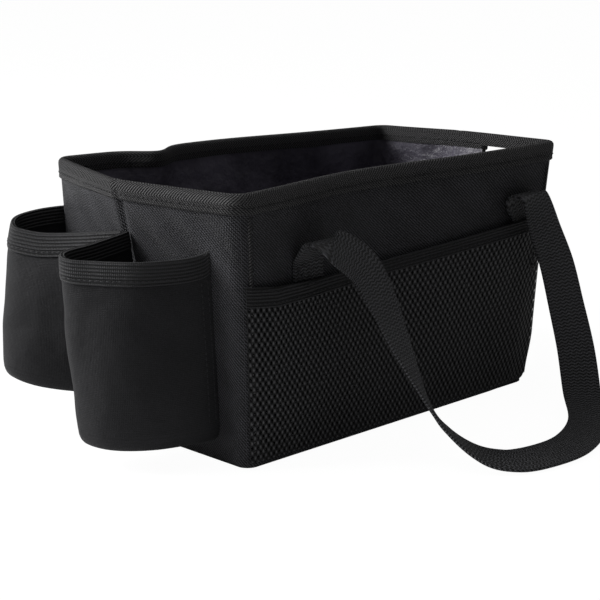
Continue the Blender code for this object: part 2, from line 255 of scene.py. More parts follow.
def slab(name, rows, columns, place, finish, skip=None):
    """A closed sheet. place(s, z, face) gives points on face 0, its outer one, and face 1, its inner one."""
    nz = len(columns)
    s, z = (grid.ravel() for grid in np.meshgrid(rows, columns, indexing="ij"))
    points = np.concatenate([place(s, z, 0), place(s, z, 1)])
    uv = np.tile(np.stack([s, z], axis=1), (2, 1))
    inner = len(s)
    kept = dict.fromkeys(itertools.product(range(len(rows) - 1), range(nz - 1)))
    if skip:
        middles = [((rows[i] + rows[i + 1]) / 2, (columns[j] + columns[j + 1]) / 2) for i, j in kept]
        kept = {cell: None for cell, middle in zip(kept, middles) if not skip(*middle)}
    faces = []
    for i, j in kept:
        a, b = i * nz + j, (i + 1) * nz + j
        c, d = b + 1, a + 1
        faces += [(a, b, c, d), (inner + d, inner + c, inner + b, inner + a)]
        edges = {(i, j - 1): (a, b), (i + 1, j): (b, c), (i, j + 1): (c, d), (i - 1, j): (d, a)}
        faces += [(q, p, inner + p, inner + q) for beside, (p, q) in edges.items() if beside not in kept]
    used = sorted({corner for face in faces for corner in face})
    renumber = {old: new for new, old in enumerate(used)}
    faces = [tuple(renumber[corner] for corner in face) for face in faces]
    return new_piece(name, points[used], faces, finish, uv[used])


def tube_faces(rings, count, start=0):
    """Faces of a closed tube: so many rings of count points each, numbered from start."""
    faces = []
    for i, k in itertools.product(range(rings - 1), range(count)):
        a, b = start + i * count + k, start + i * count + (k + 1) % count
        faces.append((a, b, b + count, a + count))
    end = start + rings * count
    return faces + [tuple(range(start, start + count))[::-1], tuple(range(end - count, end))]


def sweep(name, rings, finish, uv, round_angle=50):
    """A closed tube through rings of points, each ring a closed loop of as many points."""
    faces = tube_faces(len(rings), len(rings[0]))
    return new_piece(name, np.concatenate(rings), faces, finish, np.reshape(uv, (-1, 2)), round_angle)


def smooth_path(points, steps):
    """Catmull-Rom points through a list of vectors."""
    padded = [2 * points[0] - points[1], *points, 2 * points[-1] - points[-2]]
    path = []
    for i in range(1, len(padded) - 2):
        before, start, end, after = padded[i - 1 : i + 3]
        for step in range(steps):
            t = step / steps
            spot = 2 * start + (end - before) * t + (2 * before - 5 * start + 4 * end - after) * t**2
            path.append(0.5 * (spot + (3 * start - before - 3 * end + after) * t**3))
    path.append(points[-1].copy())
    return path


def unit(vector):
    return vector / (np.linalg.norm(vector) + 1e-12)


def lengths_along(path):
    """How far along a path each of its points is."""
    return np.concatenate([[0], np.cumsum(np.linalg.norm(np.diff(path, axis=0), axis=1))])


def track(at, places, path):
    """Points at `at` along a path whose own points lie at `places`."""
    return np.stack([np.interp(at, places, values) for values in np.transpose(path)], axis=-1)


def stitches(name, path, normals):
    """A row of short raised stitches along a path that lies on a surface."""
    run = lengths_along(path)
    points, faces = [], []
    # Each stitch's rings: how far along it and how thick
    profile = [(-0.5, 0.25), (-0.36, 0.85), (0.0, 1.1), (0.36, 0.85), (0.5, 0.25)]
    turns = np.arange(5) * 2 * math.pi / 5
    for n in range(int(run[-1] / STITCH_PITCH)):
        middle = (n + 0.5) * STITCH_PITCH
        centre = track(middle, run, path)
        ahead = unit(track(middle + STITCH_PITCH / 4, run, path) - centre)
        up = track(middle, run, normals)
        up = unit(up - ahead * up.dot(ahead))
        side = np.cross(ahead, up)
        faces += tube_faces(len(profile), len(turns), len(points))
        for (t, size), turn in itertools.product(profile, turns):
            ring = side * math.cos(turn) * 1.25 + up * (math.sin(turn) + 0.1)
            points.append(centre + ahead * t * STITCH_LENGTH + ring * STITCH_RADIUS * size)
    return new_piece(name, points, faces, FINISH["thread"], round_angle=80)


def sew(name, place, way=1):
    """Stitches along place(d), ideal points that lie d further in. They face inward if way is -1."""
    on = soften(place(0))
    return stitches(name, on, (soften(place(-OUTWARD)) - on) * way)


# ---- materials


def add_node(tree, kind, output, inputs, **settings):
    """Adds a shader node, feeds its inputs, by name or number, and returns one of its outputs."""
    node = tree.nodes.new(kind)
    for key, value in settings.items():
        setattr(node, key, value)
    for key, value in dict(inputs).items():
        if isinstance(value, (int, float, tuple)):
            node.inputs[key].default_value = value
        else:
            tree.links.new(value, node.inputs[key])
    return node.outputs[output]


class Nodes:
    """Short calls for building a material's nodes."""

    def __init__(self, name):
        self.material = bpy.data.materials.new(name)
        self.material.use_nodes = True
        self.tree = self.material.node_tree
        self.shader = self.tree.nodes["Principled BSDF"]
        self.place = self.add("ShaderNodeTexCoord", "Object")

    def set(self, **values):
        for key, value in values.items():
            self.shader.inputs[key.replace("_", " ")].default_value = value

    def add(self, kind, output, inputs=(), **settings):
        return add_node(self.tree, kind, output, inputs, **settings)

    def use(self, name, output):
        self.tree.links.new(output, self.shader.inputs[name])

    def math(self, operation, first, second=0.0, third=0.0):
        return self.add("ShaderNodeMath", 0, {0: first, 1: second, 2: third}, operation=operation)

    def scale(self, value, by, plus):
        return self.math("MULTIPLY_ADD", value, by, plus)

    def uv(self):
        cloth = self.add("ShaderNodeUVMap", 0, uv_map="cloth")
        return [self.add("ShaderNodeSeparateXYZ", part, {0: cloth}) for part in (0, 1)]

    def noise(self, size, detail=3.0, roughness=0.55):
        inputs = {"Vector": self.place, "Scale": 1 / size, "Detail": detail, "Roughness": roughness}
        return self.add("ShaderNodeTexNoise", "Fac", inputs)

    def ridges(self, value, pitch):
        """0 to 1 and back once in each pitch of the value."""
        turns = self.scale(value, 2 * math.pi / pitch, 0.0)
        return self.scale(self.math("SINE", turns), 0.5, 0.5)

    def rough(self, value, low, high):
        """Spreads the shader's roughness from low to high as the value goes from 0 to 1."""
        self.use("Roughness", self.add("ShaderNodeMapRange", 0, {0: value, 3: low, 4: high}))

    def shade(self, factor, dark, light):
        inputs = {"Factor": factor, "A": (*dark, 1), "B": (*light, 1)}
        self.use("Base Color", self.add("ShaderNodeMix", "Result", inputs, data_type="RGBA"))

    def bump(self, height, distance, strength=1.0, under=None):
        inputs = {"Strength": strength, "Distance": distance, "Height": height}
        if under is not None:
            inputs["Normal"] = under
        normal = self.add("ShaderNodeBump", 0, inputs)
        self.use("Normal", normal)
        return normal


def oxford_cloth():
    """Coated woven polyester: a diagonal weave over a fine grid, with a slightly uneven sheen."""
    n = Nodes("oxford_cloth")
    u, v = n.uv()
    grid = n.math("MULTIPLY", n.ridges(u, 0.0013), n.ridges(v, 0.0013))
    twill = n.ridges(n.math("ADD", u, v), 0.0027)
    grain = n.noise(0.0011, 2.0, 0.7)
    weave = n.scale(twill, 0.55, n.math("MULTIPLY", grid, 0.45))
    cloth = n.scale(grain, 0.5, weave)
    tone = n.scale(n.noise(0.040, 3.0), 0.5, n.scale(cloth, 2.3, -1.55))
    n.shade(tone, (0.001, 0.001, 0.0018), (0.100, 0.100, 0.116))
    n.rough(n.noise(0.03, 3.0), 0.42, 0.60)
    slack = n.bump(n.noise(0.045, 2.0), 0.0035, 0.5)
    n.bump(cloth, 0.0012, 1.0, slack)
    n.set(Specular_IOR_Level=0.36, Sheen_Weight=0.06, Sheen_Roughness=0.45)
    return n.material


def lining_cloth():
    """Smooth coated lining with crinkles; its blotchy shine is partly uneven roughness and partly painted
    sheen, light patches in its colour.
    """
    n = Nodes("lining_cloth")
    u, v = n.uv()
    threads = n.math("MULTIPLY", n.ridges(u, 0.0009), n.ridges(v, 0.0009))
    # Light patches in the colour are painted sheen, standing in for the lining's blotchy shine
    painted_sheen_patches = n.scale(n.noise(0.060, 4.0, 0.6), 2.4, -0.8)
    n.shade(painted_sheen_patches, (0.030, 0.027, 0.039), (0.160, 0.150, 0.190))
    n.rough(n.noise(0.022, 4.0, 0.65), 0.20, 0.60)
    crinkle = n.bump(n.noise(0.040, 5.0, 0.6), 0.0070, 0.9)
    n.bump(threads, 0.00008, 0.6, crinkle)
    n.set(Specular_IOR_Level=0.55, Coat_Weight=0.12, Coat_Roughness=0.3)
    return n.material


def binding_tape():
    """Woven twill tape whose diagonal turns back along its middle."""
    n = Nodes("binding_tape")
    u, v = n.uv()
    turned = n.math("PINGPONG", v, 0.0078)
    twill = n.ridges(n.math("ADD", u, turned), 0.0023)
    rows = n.ridges(v, 0.0014)
    fuzz = n.noise(0.0010, 2.0, 0.7)
    height = n.scale(rows, 0.3, n.scale(fuzz, 0.5, twill))
    n.shade(n.scale(height, 1.76, -1.59), (0.002, 0.002, 0.0025), (0.130, 0.127, 0.132))
    n.rough(fuzz, 0.46, 0.68)
    n.bump(height, 0.0010, 1.0)
    n.set(Specular_IOR_Level=0.36, Sheen_Weight=0.06, Sheen_Roughness=0.5)
    return n.material


def ribbed_elastic():
    """Knitted elastic: firm ridges run along it, crossed by fine threads."""
    n = Nodes("ribbed_elastic")
    u, v = n.uv()
    ridges = n.ridges(v, 0.0024)
    threads = n.ridges(u, 0.0013)
    fuzz = n.noise(0.0010, 2.0, 0.7)
    height = n.scale(threads, 0.3, n.scale(fuzz, 0.45, ridges))
    tone = n.scale(height, 0.75, -0.35)
    n.shade(tone, (0.003, 0.003, 0.0035), (0.040, 0.040, 0.045))
    n.rough(fuzz, 0.45, 0.65)
    n.bump(height, 0.00070, 1.0)
    n.set(Specular_IOR_Level=0.34, Sheen_Weight=0.05, Sheen_Roughness=0.5)
    return n.material


def neoprene():
    """Smooth knit-faced foam, finely speckled, with soft hollows."""
    n = Nodes("neoprene")
    u, v = n.uv()
    knit = n.math("MULTIPLY", n.ridges(u, 0.0011), n.ridges(v, 0.0014))
    grain = n.noise(0.0009, 2.0, 0.75)
    tone = n.scale(n.noise(0.05, 3.0), 0.35, n.scale(grain, 1.5, -0.62))
    n.shade(n.scale(knit, 0.15, tone), (0.002, 0.002, 0.0026), (0.028, 0.028, 0.033))
    n.rough(grain, 0.50, 0.70)
    soft = n.bump(n.noise(0.030, 3.0), 0.0035, 0.6)
    n.bump(n.math("ADD", knit, grain), 0.00022, 0.9, soft)
    n.set(Specular_IOR_Level=0.30, Sheen_Weight=0.05, Sheen_Roughness=0.5)
    return n.material


def knitted_mesh():
    """An open knitted net: staggered raised knots, with a rounded hole between each and the next."""
    n = Nodes("knitted_mesh")
    u, v = n.uv()
    knot_u, knot_v = 0.0050, 0.0072
    along = n.math("COSINE", n.math("MULTIPLY", u, 2 * math.pi / knot_u))
    upward = n.math("COSINE", n.math("MULTIPLY", v, 2 * math.pi / knot_v))
    net = n.math("MULTIPLY", along, upward)
    fuzz = n.noise(0.0009, 2.0, 0.7)
    height = n.scale(fuzz, 0.4, net)
    n.shade(n.scale(height, 1.1, -0.30), (0.004, 0.004, 0.005), (0.130, 0.130, 0.138))
    n.bump(height, 0.0011, 1.0)
    n.use("Alpha", n.math("GREATER_THAN", net, -0.50))
    n.set(Roughness=0.48, Specular_IOR_Level=0.45)
    return n.material


def webbing():
    """Ribbed strap: crosswise ridges with a lengthwise weave and firm edges."""
    n = Nodes("webbing")
    u, v = n.uv()
    zigzag = n.math("MULTIPLY", n.math("PINGPONG", v, 0.0026), 0.55)
    ridges = n.ridges(n.math("ADD", u, zigzag), 0.0027)
    cords = n.ridges(v, 0.0013)
    height = n.scale(cords, 0.4, ridges)
    fuzz = n.noise(0.0011, 2.0, 0.7)
    n.shade(n.scale(height, 1.17, n.scale(fuzz, 0.9, -0.9)), (0.003, 0.003, 0.004), (0.095, 0.096, 0.107))
    n.rough(fuzz, 0.38, 0.60)
    n.bump(n.scale(fuzz, 0.4, height), 0.00110, 1.0)
    n.set(Specular_IOR_Level=0.45, Sheen_Weight=0.08)
    return n.material


def thread():
    n = Nodes("thread")
    n.shade(n.noise(0.0006, 1.0), (0.005, 0.005, 0.006), (0.024, 0.024, 0.027))
    n.bump(n.noise(0.0005, 1.0), 0.0001, 0.6)
    n.set(Roughness=0.5, Specular_IOR_Level=0.4)
    return n.material


def fibre_board():
    n = Nodes("fibre_board")
    n.shade(n.noise(0.0015, 4.0, 0.7), (0.020, 0.019, 0.018), (0.050, 0.047, 0.043))
    n.bump(n.noise(0.0008, 3.0), 0.0002, 0.6)
    n.set(Roughness=0.8)
    return n.material


FINISH = {
    "fabric": oxford_cloth(),
    "lining": lining_cloth(),
    "binding": binding_tape(),
    "elastic": ribbed_elastic(),
    "neoprene": neoprene(),
    "mesh": knitted_mesh(),
    "webbing": webbing(),
    "thread": thread(),
    "board": fibre_board(),
}


# ---- putting pieces on the frame

# The walls go round in order from the open corner, q metres along
SIDE_ORDER = [("front", 1), ("right", 1), ("rear", -1), ("left", -1)]
SIDE_START = {}
ROUND = 0.0
for side, way in SIDE_ORDER:
    SIDE_START[side] = ROUND
    ROUND += 2 * side_end(side)


def round_at(side, s):
    """How far round the walls a place on a side is."""
    way = dict(SIDE_ORDER)[side]
    return SIDE_START[side] + side_end(side) + way * s


def around(q, z, d):
    """Ideal points at q round the walls, height z and depth d."""
    q, z, d = np.broadcast_arrays(np.asarray(q, float), z, d)
    points = np.empty((*q.shape, 3))
    for side, way in SIDE_ORDER:
        start, end = SIDE_START[side], SIDE_START[side] + 2 * side_end(side)
        here = (q >= start - 1e-7) & (q <= end + 1e-7)
        s = way * (q[here] - start - side_end(side))
        points[here] = on_side(side, s, z[here], d[here])
    return points


def round_rows(low, high, step, extra=()):
    """Places round the walls from low to high, closer together at corners and creases."""
    places = [low, high, *extra]
    for side, _ in SIDE_ORDER:
        places += [round_at(side, s) for s in along_side(side, step)]
    places = np.unique(np.round(places, 5))
    return places[(places >= round(low, 5)) & (places <= round(high, 5))]


def from_crease(q):
    creases = [round_at("left", 0), round_at("right", 0)]
    return np.min([np.abs(q - crease) for crease in creases], axis=0)


def from_corner(q):
    corners = [*SIDE_START.values(), ROUND]
    return np.min([np.abs(q - corner) for corner in corners], axis=0)


def seat(piece, body, node=None):
    """Puts a piece on one body, and has it stand for its CAD node."""
    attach(piece, body)
    if node:
        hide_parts(node)


class Run(namedtuple("Run", "name low high bodies bend replaced")):
    """One length of the sewn walls, which rides on one body, or spans one joint and is fixed in place on no
    body.
    """

    def attach(self, piece, slot_name, layer=None):
        if self.bend:
            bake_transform(piece)
        else:
            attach(piece, self.bodies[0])
        if layer and self.replaced:
            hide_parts(f"{self.replaced}_{layer}")


def corner_bend(x_sign, y_sign):
    """Start and end of the bend at a corner, from its long wall to its end."""
    reach = CORNER_RADIUS + 0.003
    start = (x_sign * (HALF_LENGTH - reach), y_sign * HALF_WIDTH, 0)
    end = (x_sign * HALF_LENGTH, y_sign * (HALF_WIDTH - reach), 0)
    return start, end


def crease_bend(x_sign, shift):
    """Start and end of the bend at an end's crease, from its rear half to its front half."""
    return (x_sign * HALF_LENGTH, BLEND_HALF + shift, 0), (x_sign * HALF_LENGTH, -BLEND_HALF, 0)


LEFT_REAR, LEFT_FRONT = "left_rear_end", "left_front_end"
RIGHT_REAR, RIGHT_FRONT = "right_rear_end", "right_front_end"
# How far from an end's crease its middle run stops, and where it stops short on the right end's front half
SPLIT = 0.052
SPLIT_AT_SLOT = 0.020
# Each run starts where the last one ends. An entry is a name, an end, the bodies, a bend and the CAD wall
RUN_ENDS = [
    ("front_left", ("front", 0), ["front_wall"], None, "front_wall"),
    ("front_right", ("right", -SPLIT_AT_SLOT), ["front_wall", RIGHT_FRONT], corner_bend(1, -1), RIGHT_FRONT),
    ("right_middle", ("right", SPLIT), [RIGHT_REAR, RIGHT_FRONT], crease_bend(1, 0), RIGHT_REAR),
    ("rear_right", ("rear", 0), ["root", RIGHT_REAR], corner_bend(1, 1), "rear_wall"),
    ("rear_left", ("left", SPLIT), ["root", LEFT_REAR], corner_bend(-1, 1), LEFT_REAR),
    ("left_middle", ("left", -SPLIT), [LEFT_REAR, LEFT_FRONT], crease_bend(-1, CREASE_SHIFT), LEFT_FRONT),
    ("left_front", None, [LEFT_FRONT], None, None),
]
RUNS = []
for name, end, *rest in RUN_ENDS:
    low = RUNS[-1].high if RUNS else 0.0
    RUNS.append(Run(name, low, round_at(*end) if end else ROUND, *rest))


# The front wall's right corner, which the mesh pocket reaches
FRONT_BEND = RUNS[1]


def crease_dip(q, z):
    """Depth of the pressed fold down the middle of each end."""
    return 0.0030 * bump(from_crease(q), 0.0, 0.0030) * smooth(0.0, 0.02, z)


def in_slot(q, z):
    (_, low_y, low_z), (_, high_y, high_z) = SLOT
    return round_at("right", low_y) < q < round_at("right", high_y) and low_z < z < high_z


def wall_columns(low, high, step=0.006):
    places = [*np.linspace(low, high, int((high - low) / step) + 1), SLOT[0][2], SLOT[1][2]]
    places += [low + t * FOOT_RADIUS for t in (0.1, 0.25, 0.5, 0.75, 1.0)]
    return np.unique(np.round(places, 5))


def slot_edges():
    return [round_at("right", SLOT[0][1]), round_at("right", SLOT[1][1])]


def foot_tuck(z, low):
    """How far a wall's lower edge rolls in under it."""
    t = np.clip(1 - (z - low) / FOOT_RADIUS, 0, 1)
    return FOOT_RADIUS * (1 - np.sqrt(1 - t**2)) * 0.7


def slack_at(points, q, z, sizes, seed):
    """How far soft cloth stands off its ideal plane, faded out at its edges and corners."""
    slack = sum(waves(points, size, seed + i) * height for i, (size, height) in enumerate(sizes))
    edge = smooth(0, 0.03, z) * smooth(0, 0.03, HEIGHT - z)
    return slack * edge * smooth(0.0, 0.02, from_corner(q))


def make_wall(run):
    rows = round_rows(run.low, run.high, 0.005, slot_edges())
    low = 0.0008

    def outer_fabric(q, z, face):
        ideal = around(q, z, FABRIC_AT)
        streaks = ideal * np.array([1.0, 1.0, 0.35])
        slack = slack_at(ideal, q, z, ((0.060, 0.0012), (0.022, 0.0003)), 11)
        slack += slack_at(streaks, q, z, ((0.026, 0.0006),), 15)
        deep = FABRIC_AT + face * (FABRIC_IN - FABRIC_AT)
        return soften(around(q, z, deep + foot_tuck(z, low) + crease_dip(q, z) - slack * (1 - face)))

    columns = wall_columns(low, HEIGHT - 0.004)
    piece = slab(f"{run.name}_fabric", rows, columns, outer_fabric, FINISH["fabric"], in_slot)
    run.attach(piece, "fabric", "outer_fabric")

    def lining(q, z, face):
        ideal = around(q, z, LINING_AT)
        slack = slack_at(ideal, q, z, ((0.055, 0.0016), (0.018, 0.0004)), 21)
        deep = LINING_AT + face * (LINING_IN - LINING_AT) - 0.0002 + np.maximum(slack, -0.0002) * face
        return soften(around(q, z, deep + 0.3 * crease_dip(q, z)))

    columns = wall_columns(BASE_TOP, HEIGHT - 0.004)
    piece = slab(f"{run.name}_lining", rows, columns, lining, FINISH["lining"], in_slot)
    run.attach(piece, "lining", "lining")


# Each stiffening board's CAD wall and side, and whether it reaches each end or stops at the crease
BOARDS = [
    ("front_wall", "front", -1, 1),
    ("rear_wall", "rear", -1, 1),
    (LEFT_REAR, "left", 0, 1),
    (LEFT_FRONT, "left", -1, 0),
    (RIGHT_REAR, "right", 0, 1),
    (RIGHT_FRONT, "right", -1, 0),
]


def make_board(node, side, low, high):
    """A wall's stiffening board, which stops short of its corners and its crease."""
    reach = SIDES[side][2] - CORNER_RADIUS - 0.009
    hinge = 0.010
    start = low * reach if low else hinge
    end = high * reach if high else -hinge
    extra = [y for y in (SLOT[0][1], SLOT[1][1]) if node == RIGHT_FRONT]
    rows = np.unique(np.round([*np.linspace(start, end, 24), *extra], 5))

    def board(s, z, face):
        deep = BOARD_AT + face * (BOARD_IN - BOARD_AT) + 0.7 * crease_dip(round_at(side, s), z)
        return soften(on_side(side, s, z, deep))

    def hole(s, z):
        return node == RIGHT_FRONT and in_slot(round_at(side, s), z)

    piece = slab(f"{node}_stiffener", rows, wall_columns(0.004, HEIGHT - 0.006), board, FINISH["board"], hole)
    seat(piece, "root" if node == "rear_wall" else node, f"{node}_board")


def binding_section():
    """The rim binding's closed section as (depth, height below the rim), with a rounded fold on top."""
    skin = 0.0012
    half = WALL / 2
    section = [(0.0004, -BINDING_DROP), (-0.0003, -BINDING_DROP + 0.0008), (0.0, -BINDING_DROP + 0.003)]
    section += [(0.0, -0.010), (0.0, -0.006)]
    section += [(half - half * math.cos(t), -half + half * math.sin(t)) for t in np.linspace(0, math.pi, 9)]
    inner = BINDING_DROP - 0.002
    section += [(WALL, -0.008), (WALL, -inner + 0.002), (WALL - 0.0004, -inner)]
    section += [(WALL - skin, -inner), (WALL - skin, -0.0055), (skin, -0.0055), (skin, -BINDING_DROP)]
    return section


def make_binding(run):
    slot_low, slot_high = slot_edges()
    tiny = 0.00003
    edges = [slot_low - tiny, slot_low + tiny, slot_high - tiny, slot_high + tiny]
    rows = round_rows(run.low, run.high, 0.003, edges)
    section = np.array(binding_section())
    lengths = lengths_along(section)
    rings, uv = [], []
    for q in rows:
        middle = around(q, HEIGHT, 0.0).reshape(1, 3)
        wander = float(waves(middle, 0.030, 6)[0])
        puff = float(waves(middle, 0.011, 7)[0])
        depth = section[:, 0] - 0.00035 * puff * (section[:, 0] < 0.001)
        height = section[:, 1] + 0.0007 * wander * (section[:, 1] < -0.009)
        depth = depth + 0.0016 * bump(from_crease(q), 0.0, 0.003) * (section[:, 0] < WALL / 2)
        if slot_low < q < slot_high:
            height = np.maximum(height, SLOT[1][2] - HEIGHT)
        rings.append(soften(around(q, HEIGHT + height, depth)))
        uv.append([(q, length) for length in lengths])
    piece = sweep(f"{run.name}_binding", rings, FINISH["binding"], uv)
    run.attach(piece, "binding", "rim_binding")
    make_rim_stitches(run)


def make_rim_stitches(run):
    """The rows of stitches through the binding, which stop at the slot."""
    slot_low, slot_high = slot_edges()
    parts = {"": (run.low, run.high)}
    if run.low < slot_low < run.high:
        parts = {"_near": (run.low, slot_low - 0.002), "_far": (slot_high + 0.002, run.high)}
    faces = (("outer", -0.0002, BINDING_DROP - 0.0045), ("inner", WALL + 0.0002, BINDING_DROP - 0.0065))
    for (face, deep, drop), (part, ends) in itertools.product(faces, parts.items()):
        q = np.linspace(*ends, 160)
        way = 1 if face == "outer" else -1
        name = f"{run.name}_{face}_stitches{part}"
        row = sew(name, lambda d: around(q, HEIGHT - drop, deep + d), way)
        run.attach(row, "binding")


def make_base():
    """Base fabric, board and lining: flat layers with rounded corners that ride on the root."""
    # Each layer's node, slot and corner radius
    layers = [
        ("base_fabric", "fabric", 0.010),
        ("base_board", "board", 0.013),
        ("base_lining", "lining", 0.011),
    ]
    for node, slot_name, radius in layers:
        low, high = (Vector(corner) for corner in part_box(node))
        outline = []
        for corner_x, corner_y, first in ((1, 1, 0), (-1, 1, 1), (-1, -1, 2), (1, -1, 3)):
            for t in np.linspace(0, math.pi / 2, 6):
                turn = first * math.pi / 2 + t
                x = corner_x * (high.x - radius) + radius * math.cos(turn)
                y = corner_y * (high.y - radius) + radius * math.sin(turn)
                outline.append((x, y))
        outline = np.array(outline)
        points, faces, uv = [], [], []
        count = len(outline)
        rings = [1.0, 0.985, 0.93, 0.8, 0.6, 0.4, 0.2]
        for z, up in ((low.z, -1), (high.z, 1)):
            start = len(points)
            for ring in rings:
                for x, y in outline * ring:
                    ripple = 0.0006 * noise.noise(Vector((x / 0.05, y / 0.05, 3.0)))
                    lift = max(ripple, -0.0001) if slot_name == "lining" else 0.0
                    points.append((x, y, z + lift * (1 - ring**8)))
                    uv.append((x, y))
            for i in range(len(rings) - 1):
                for k in range(count):
                    after = (k + 1) % count
                    a, b = start + i * count + k, start + i * count + after
                    faces.append((a, b, b + count, a + count) if up > 0 else (b, a, a + count, b + count))
            last = tuple(range(start + (len(rings) - 1) * count, start + len(rings) * count))
            faces.append(last if up > 0 else last[::-1])
        shift = len(rings) * count
        faces += [(k, (k + 1) % count, shift + (k + 1) % count, shift + k) for k in range(count)]
        piece = new_piece(f"{node}_cloth", points, faces, FINISH[slot_name], uv)
        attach(piece, "root")
        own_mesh(piece)
        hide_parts(node)


# ---- cup pockets


# Points round each cup pocket, from the crease to the corner: how far out from the wall, y and height
FRONT_RIM = [
    (0, -0.0005, 0.161), (0.03, 0.001, 0.157), (0.055, 0.0015, 0.1555), (0.063, -0.002, 0.1535),
    (0.064, -0.01, 0.152), (0.0575, -0.022, 0.1515), (0.047, -0.041, 0.1515),
    (0.032, -0.056, 0.1515), (0.015, -0.067, 0.152), (0.004, -0.0725, 0.154), (0, -0.075, 0.157),
]
FRONT_FOOT = [
    (0, -0.0005, 0.028), (0.03, 0.001, 0.0285), (0.06, 0.001, 0.029), (0.073, -0.004, 0.029),
    (0.077, -0.015, 0.029), (0.074, -0.03, 0.029), (0.062, -0.048, 0.029), (0.045, -0.061, 0.029),
    (0.025, -0.069, 0.029), (0.01, -0.0735, 0.029), (0, -0.075, 0.029),
]
REAR_RIM = [
    (0, 0.0045, 0.16), (0.01, 0.025, 0.157), (0.0215, 0.048, 0.1535), (0.035, 0.068, 0.152),
    (0.0465, 0.084, 0.154), (0.049, 0.092, 0.1555), (0.0455, 0.101, 0.158), (0.036, 0.106, 0.16),
    (0.018, 0.1045, 0.1615), (-0.0035, 0.0985, 0.162),
]
REAR_FOOT = [
    (0, 0.0045, 0.046), (0.014, 0.018, 0.047), (0.032, 0.036, 0.048), (0.048, 0.052, 0.05),
    (0.062, 0.068, 0.053), (0.069, 0.084, 0.056), (0.066, 0.096, 0.057), (0.052, 0.103, 0.057),
    (0.026, 0.103, 0.056), (-0.0035, 0.0985, 0.055),
]


# The pocket's roll at its foot, its cloth's thickness, and its elastic's drop and thickness
CUP_ROLL = 0.012
CUP_WALL = 0.0026
CUP_ELASTIC_DROP = 0.0155
CUP_ELASTIC_SKIN = 0.0009
# How far the fabric's outer plane is from the caddy's middle, with a hair to spare
CUP_BACK = HALF_LENGTH - FABRIC_AT + 0.0003


class Cup:
    """One cup pocket: a sewn-on panel that stands out from its wall along a lopsided curve."""

    def __init__(self, name, body, rim, foot, seed):
        self.name = name
        self.body = body
        self.rim = self.spread(rim)
        self.foot = self.spread(foot)
        self.seed = seed

    @staticmethod
    def spread(points, count=400):
        """Even places along a smooth curve through the points."""
        path = np.array([tuple(p) for p in smooth_path([Vector(p) for p in points], 12)])
        run = lengths_along(path)
        return track(np.linspace(0, 1, count), run / run[-1], path)

    def outline(self, a, height):
        """Points and outward directions in plan at a round the pocket, from its foot, 0, to its rim, 1."""
        index = np.linspace(0, 1, len(self.rim))
        rim, foot = track(a, index, self.rim), track(a, index, self.foot)
        share = np.clip(height, 0, 1)[:, None] ** 1.3
        points = foot * (1 - share) + rim * share
        points[:, 2] = foot[:, 2] + (rim[:, 2] - foot[:, 2]) * height
        ahead = (track(a + 0.01, index, self.rim) - track(a - 0.01, index, self.rim))[:, :2]
        ahead /= np.linalg.norm(ahead, axis=1)[:, None] + 1e-9
        turn = np.sign(self.rim[-1, 1] - self.rim[0, 1])
        return points, np.stack([ahead[:, 1] * turn, -ahead[:, 0] * turn], axis=1)

    def wall_point(self, a, height, inset=0.0):
        a = np.asarray(a, float)
        height = np.broadcast_to(np.asarray(height, float), a.shape)
        points, away = self.outline(a, height)
        middle = np.sin(math.pi * np.clip(a, 0, 1)) * np.sin(math.pi * np.clip(height, 0, 1))
        ripple = waves(points, 0.045, self.seed) * 0.0022 + waves(points, 0.018, self.seed + 1) * 0.0007
        swell = 0.0025 * middle + ripple * np.sin(math.pi * np.clip(a, 0, 1)) ** 0.5 - inset
        points[:, 0] += away[:, 0] * swell
        points[:, 1] += away[:, 1] * swell
        points[:, 0] = -CUP_BACK - np.maximum(points[:, 0], -0.0045)
        return points

    def foot_point(self, a, t, inset=0.0):
        """From the foot's edge, t = 0, rolled under to the middle of the pocket's floor, t = 1."""
        edge = self.wall_point(a, np.zeros_like(a), inset)
        middle = edge.mean(axis=0) + np.array([0.008, 0, 0])
        share = t[:, None] ** 1.2
        points = edge * (1 - share) + middle * share
        roll = np.sqrt(np.clip(1 - (1 - np.clip(t * 4.5, 0, 1)) ** 2, 0, 1))
        points[:, 2] = edge[:, 2] - CUP_ROLL * roll + inset
        points[:, 0] = np.minimum(points[:, 0], -CUP_BACK)
        return points


def make_cup(cup):
    across = np.linspace(0, 1, 97)
    wall = np.linspace(0, 1, 29)
    under = 1 + np.array([0.015, 0.04, 0.07, 0.11, 0.16, 0.22, 0.4, 0.6, 0.8, 0.97])

    def place(a, row, face):
        inset = CUP_WALL * face
        points = np.empty((len(a), 3))
        upright = row <= 1
        points[upright] = cup.wall_point(a[upright], 1 - row[upright], inset)
        points[~upright] = cup.foot_point(a[~upright], row[~upright] - 1, inset)
        return soften(points)

    piece = slab(f"{cup.name}_pocket", across, np.concatenate([wall, under]), place, FINISH["neoprene"])
    reach = float(lengths_along(cup.rim)[-1])
    layer = piece.data.uv_layers["cloth"]
    scaled = np.array([(l.uv[0] * reach, -l.uv[1] * (CUP_TOP - CUP_BOTTOM)) for l in layer.data], np.float32)
    layer.data.foreach_set("uv", scaled.ravel())
    seat(piece, cup.body, f"{cup.name}_cup_pocket")
    make_cup_elastic(cup, reach)
    make_cup_seams(cup)


